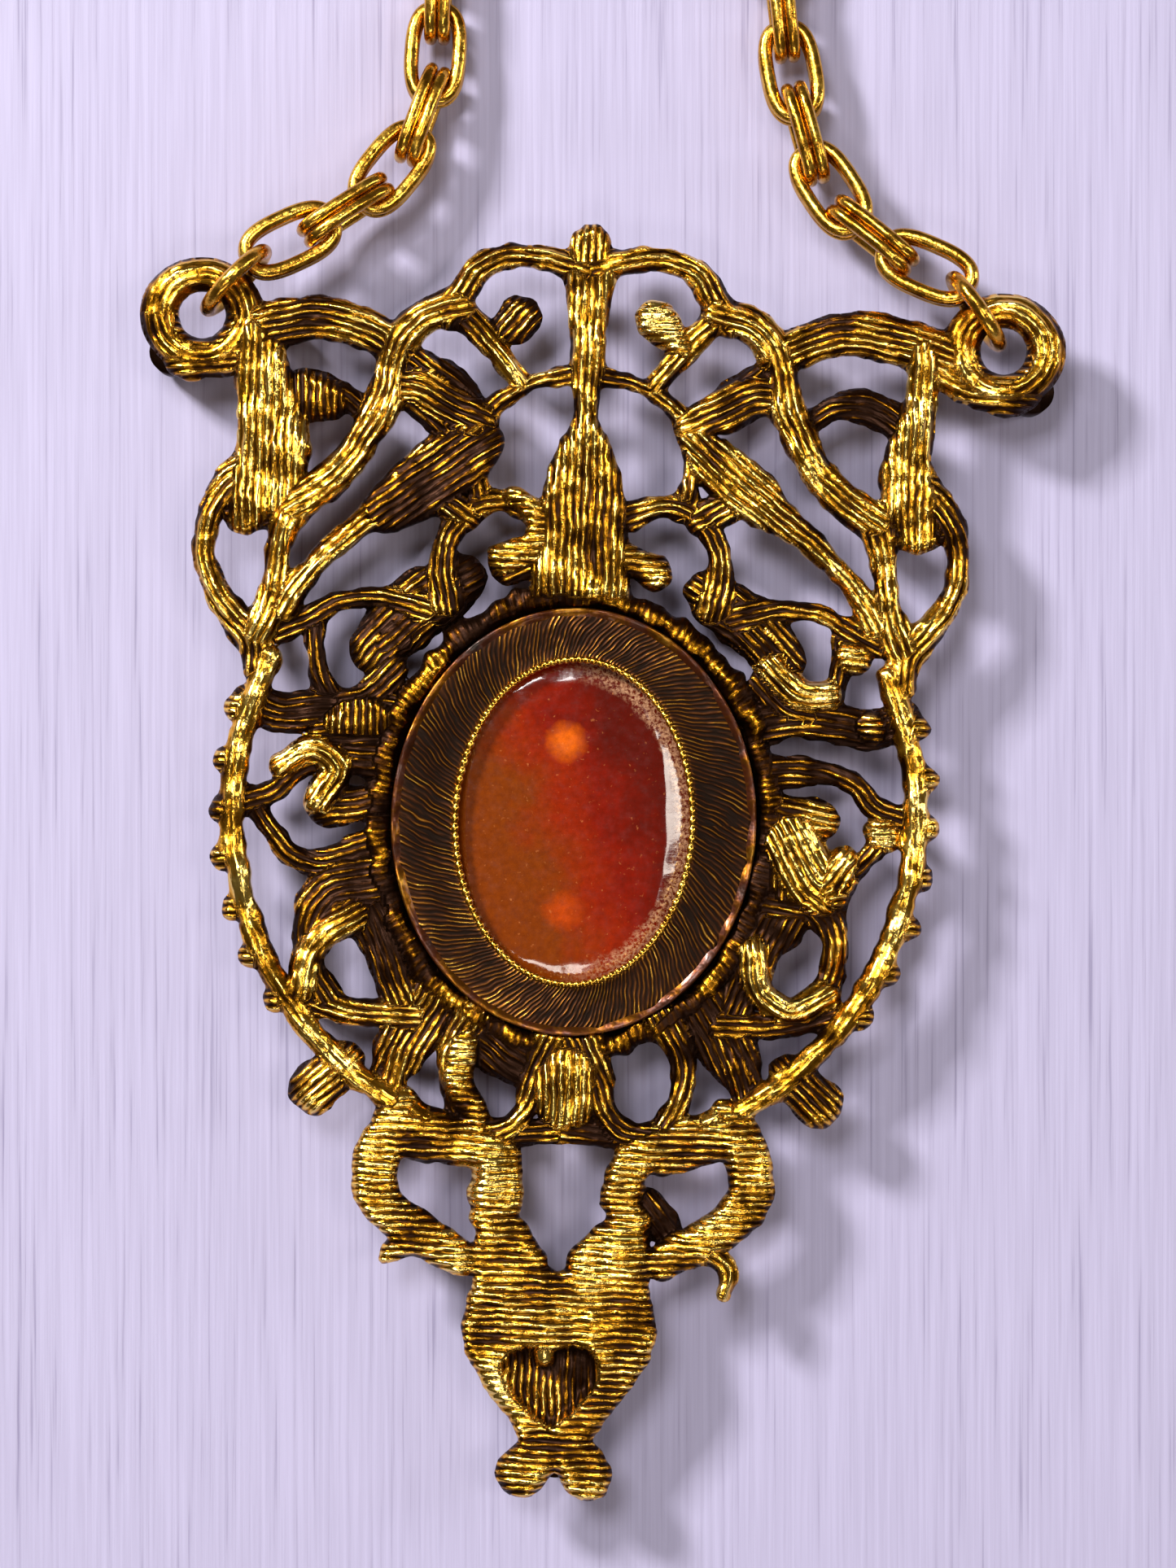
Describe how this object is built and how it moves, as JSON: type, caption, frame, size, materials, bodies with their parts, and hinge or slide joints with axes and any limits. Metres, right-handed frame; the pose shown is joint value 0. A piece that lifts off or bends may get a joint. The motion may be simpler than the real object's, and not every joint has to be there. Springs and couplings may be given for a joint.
{
  "type": "pendant necklace",
  "caption": "Openwork cast cartouche pendant with an oval translucent cabochon in a bezel, hung by its two corners on a doubled-ring rope chain with a spring-ring clasp.",
  "frame": {"origin": "on the table, under the middle of the plaque, which lies face down", "axes": "+Z out of the back of the plaque, +Y along the plaque towards its finial and the chain, +X to the right as the back is seen"},
  "size_m": [0.1441, 0.1377, 0.0065],
  "materials": {
    "antiqued_gold": "cast, antiqued gold plate, brushed flats",
    "bezel_gold": "darkened gold plate, fine hatching",
    "chain_gold": "polished gold plate",
    "clasp_gold": "polished gold plate",
    "stone": "polished, translucent orange red",
    "cement": "dried amber cement",
    "spring_steel": "bright wire"
  },
  "bodies": {
    "plaque": {"plaque": "antiqued_gold", "bezel_cup": "bezel_gold", "cement_bead": "cement", "cabochon": "stone"},
    "right_corner_ring": {"right_corner_ring": "chain_gold"},
    "right_pair_1": {"right_pair_1": "chain_gold"},
    "right_pair_2": {"right_pair_2": "chain_gold"},
    "right_pair_3": {"right_pair_3": "chain_gold"},
    "right_pair_4": {"right_pair_4": "chain_gold"},
    "right_pair_5": {"right_pair_5": "chain_gold"},
    "right_pair_6": {"right_pair_6": "chain_gold"},
    "right_run_1": {"right_run_1": "chain_gold"},
    "right_run_2": {"right_run_2": "chain_gold"},
    "right_run_3": {"right_run_3": "chain_gold"},
    "right_run_4": {"right_run_4": "chain_gold"},
    "right_run_5": {"right_run_5": "chain_gold"},
    "right_end_ring": {"right_end_ring": "chain_gold"},
    "clasp": {"clasp_housing": "clasp_gold", "clasp_spring": "spring_steel"},
    "clasp_bolt": {"clasp_bolt": "clasp_gold"},
    "left_corner_ring": {"left_corner_ring": "chain_gold"},
    "left_pair_1": {"left_pair_1": "chain_gold"},
    "left_pair_2": {"left_pair_2": "chain_gold"},
    "left_pair_3": {"left_pair_3": "chain_gold"},
    "left_pair_4": {"left_pair_4": "chain_gold"},
    "left_pair_5": {"left_pair_5": "chain_gold"},
    "left_pair_6": {"left_pair_6": "chain_gold"},
    "left_run_1": {"left_run_1": "chain_gold"},
    "left_run_2": {"left_run_2": "chain_gold"},
    "left_run_3": {"left_run_3": "chain_gold"},
    "left_run_4": {"left_run_4": "chain_gold"},
    "left_run_5": {"left_run_5": "chain_gold"},
    "left_end_ring": {"left_end_ring": "chain_gold"},
    "catch_plate": {"catch_plate": "clasp_gold"}
  },
  "joints": [
    {"name": "right_corner_ring_swing", "type": "hinge", "parent": "plaque", "child": "right_corner_ring", "pos_m": [0.01911, 0.02819, 0.00395], "axis": [0.8203, 0.5717, 0.0175], "range_deg": [0, 14]},
    {"name": "right_pair_1_swing", "type": "hinge", "parent": "right_corner_ring", "child": "right_pair_1", "pos_m": [0.01793, 0.02988, 0.00369], "axis": [0, 0, -1], "range_deg": [0, 16]},
    {"name": "right_pair_2_lift", "type": "hinge", "parent": "right_pair_1", "child": "right_pair_2", "pos_m": [0.01443, 0.03148, 0.00327], "axis": [0.6374, 0.7705, 0], "range_deg": [0, 20]},
    {"name": "right_pair_3_swing", "type": "hinge", "parent": "right_pair_2", "child": "right_pair_3", "pos_m": [0.01203, 0.03372, 0.00269], "axis": [0, 0, 1], "range_deg": [-16, 16]},
    {"name": "right_pair_4_lift", "type": "hinge", "parent": "right_pair_3", "child": "right_pair_4", "pos_m": [0.01047, 0.03662, 0.00212], "axis": [0.9659, 0.2588, 0], "range_deg": [0, 20]},
    {"name": "right_pair_5_swing", "type": "hinge", "parent": "right_pair_4", "child": "right_pair_5", "pos_m": [0.00983, 0.0399, 0.00193], "axis": [0, 0, -1], "range_deg": [-16, 16]},
    {"name": "right_pair_6_lift", "type": "hinge", "parent": "right_pair_5", "child": "right_pair_6", "pos_m": [0.00933, 0.04314, 0.00154], "axis": [0.9938, 0.1115, 0], "range_deg": [0, 20]},
    {"name": "right_run_1_swing", "type": "hinge", "parent": "right_pair_6", "child": "right_run_1", "pos_m": [0.00901, 0.04643, 0.0016], "axis": [0, 0, 1], "range_deg": [-14, 14]},
    {"name": "right_run_2_lift", "type": "hinge", "parent": "right_run_1", "child": "right_run_2", "pos_m": [0.02708, 0.07692, 0.0016], "axis": [-0.2924, 0.9563, 0], "range_deg": [-18, 0]},
    {"name": "right_run_3_swing", "type": "hinge", "parent": "right_run_2", "child": "right_run_3", "pos_m": [0.06296, 0.06475, 0.0016], "axis": [0, 0, -1], "range_deg": [-14, 14]},
    {"name": "right_run_4_lift", "type": "hinge", "parent": "right_run_3", "child": "right_run_4", "pos_m": [0.07103, 0.02811, 0.0016], "axis": [0.9925, -0.1219, 0], "range_deg": [-18, 0]},
    {"name": "right_run_5_swing", "type": "hinge", "parent": "right_run_4", "child": "right_run_5", "pos_m": [0.06602, -0.01273, 0.0016], "axis": [0, 0, 1], "range_deg": [-14, 14]},
    {"name": "right_end_ring_lift", "type": "hinge", "parent": "right_run_5", "child": "right_end_ring", "pos_m": [0.05399, -0.04675, 0.0016], "axis": [-0.8746, 0.4848, 0], "range_deg": [0, 16]},
    {"name": "clasp_swing", "type": "hinge", "parent": "right_end_ring", "child": "clasp", "pos_m": [0.05313, -0.04831, 0.0016], "axis": [0, 0, 1], "range_deg": [-16, 16]},
    {"name": "clasp_bolt_draw", "type": "hinge", "parent": "clasp", "child": "clasp_bolt", "pos_m": [0.05073, -0.05264, 0.00119], "axis": [0.0346, 0.0625, -0.9974], "range_deg": [0, 76], "stiffness_Nm_per_rad": 0.00002, "springref_deg": -11.46},
    {"name": "left_corner_ring_swing", "type": "hinge", "parent": "plaque", "child": "left_corner_ring", "pos_m": [-0.0188, 0.02978, 0.00395], "axis": [0.711, -0.703, 0.0175], "range_deg": [0, 14]},
    {"name": "left_pair_1_swing", "type": "hinge", "parent": "left_corner_ring", "child": "left_pair_1", "pos_m": [-0.01735, 0.03125, 0.00369], "axis": [0, 0, 1], "range_deg": [0, 16]},
    {"name": "left_pair_2_lift", "type": "hinge", "parent": "left_pair_1", "child": "left_pair_2", "pos_m": [-0.0139, 0.03293, 0.00323], "axis": [0.5592, -0.829, 0], "range_deg": [0, 20]},
    {"name": "left_pair_3_swing", "type": "hinge", "parent": "left_pair_2", "child": "left_pair_3", "pos_m": [-0.01125, 0.03485, 0.00266], "axis": [0, 0, 1], "range_deg": [-16, 16]},
    {"name": "left_pair_4_lift", "type": "hinge", "parent": "left_pair_3", "child": "left_pair_4", "pos_m": [-0.0094, 0.0376, 0.00225], "axis": [0.9415, -0.3371, 0], "range_deg": [0, 20]},
    {"name": "left_pair_5_swing", "type": "hinge", "parent": "left_pair_4", "child": "left_pair_5", "pos_m": [-0.00851, 0.04079, 0.00177], "axis": [0, 0, -1], "range_deg": [-16, 16]},
    {"name": "left_pair_6_lift", "type": "hinge", "parent": "left_pair_5", "child": "left_pair_6", "pos_m": [-0.0085, 0.04412, 0.00151], "axis": [0.9995, -0.0314, 0], "range_deg": [0, 20]},
    {"name": "left_run_1_swing", "type": "hinge", "parent": "left_pair_6", "child": "left_run_1", "pos_m": [-0.00843, 0.04742, 0.0016], "axis": [0, 0, 1], "range_deg": [-14, 14]},
    {"name": "left_run_2_lift", "type": "hinge", "parent": "left_run_1", "child": "left_run_2", "pos_m": [-0.02858, 0.07657, 0.0016], "axis": [-0.225, -0.9744, 0], "range_deg": [-18, 0]},
    {"name": "left_run_3_swing", "type": "hinge", "parent": "left_run_2", "child": "left_run_3", "pos_m": [-0.06351, 0.06192, 0.0016], "axis": [0, 0, -1], "range_deg": [-14, 14]},
    {"name": "left_run_4_lift", "type": "hinge", "parent": "left_run_3", "child": "left_run_4", "pos_m": [-0.06902, 0.02481, 0.0016], "axis": [0.9816, 0.1908, 0], "range_deg": [-18, 0]},
    {"name": "left_run_5_swing", "type": "hinge", "parent": "left_run_4", "child": "left_run_5", "pos_m": [-0.06117, -0.01558, 0.0016], "axis": [0, 0, 1], "range_deg": [-14, 14]},
    {"name": "left_end_ring_lift", "type": "hinge", "parent": "left_run_5", "child": "left_end_ring", "pos_m": [-0.0468, -0.04868, 0.0016], "axis": [-0.8387, -0.5446, 0], "range_deg": [0, 16]},
    {"name": "catch_plate_swing", "type": "hinge", "parent": "left_end_ring", "child": "catch_plate", "pos_m": [-0.04583, -0.05017, 0.0016], "axis": [0, 0, 1], "range_deg": [-12, 12]}
  ]
}
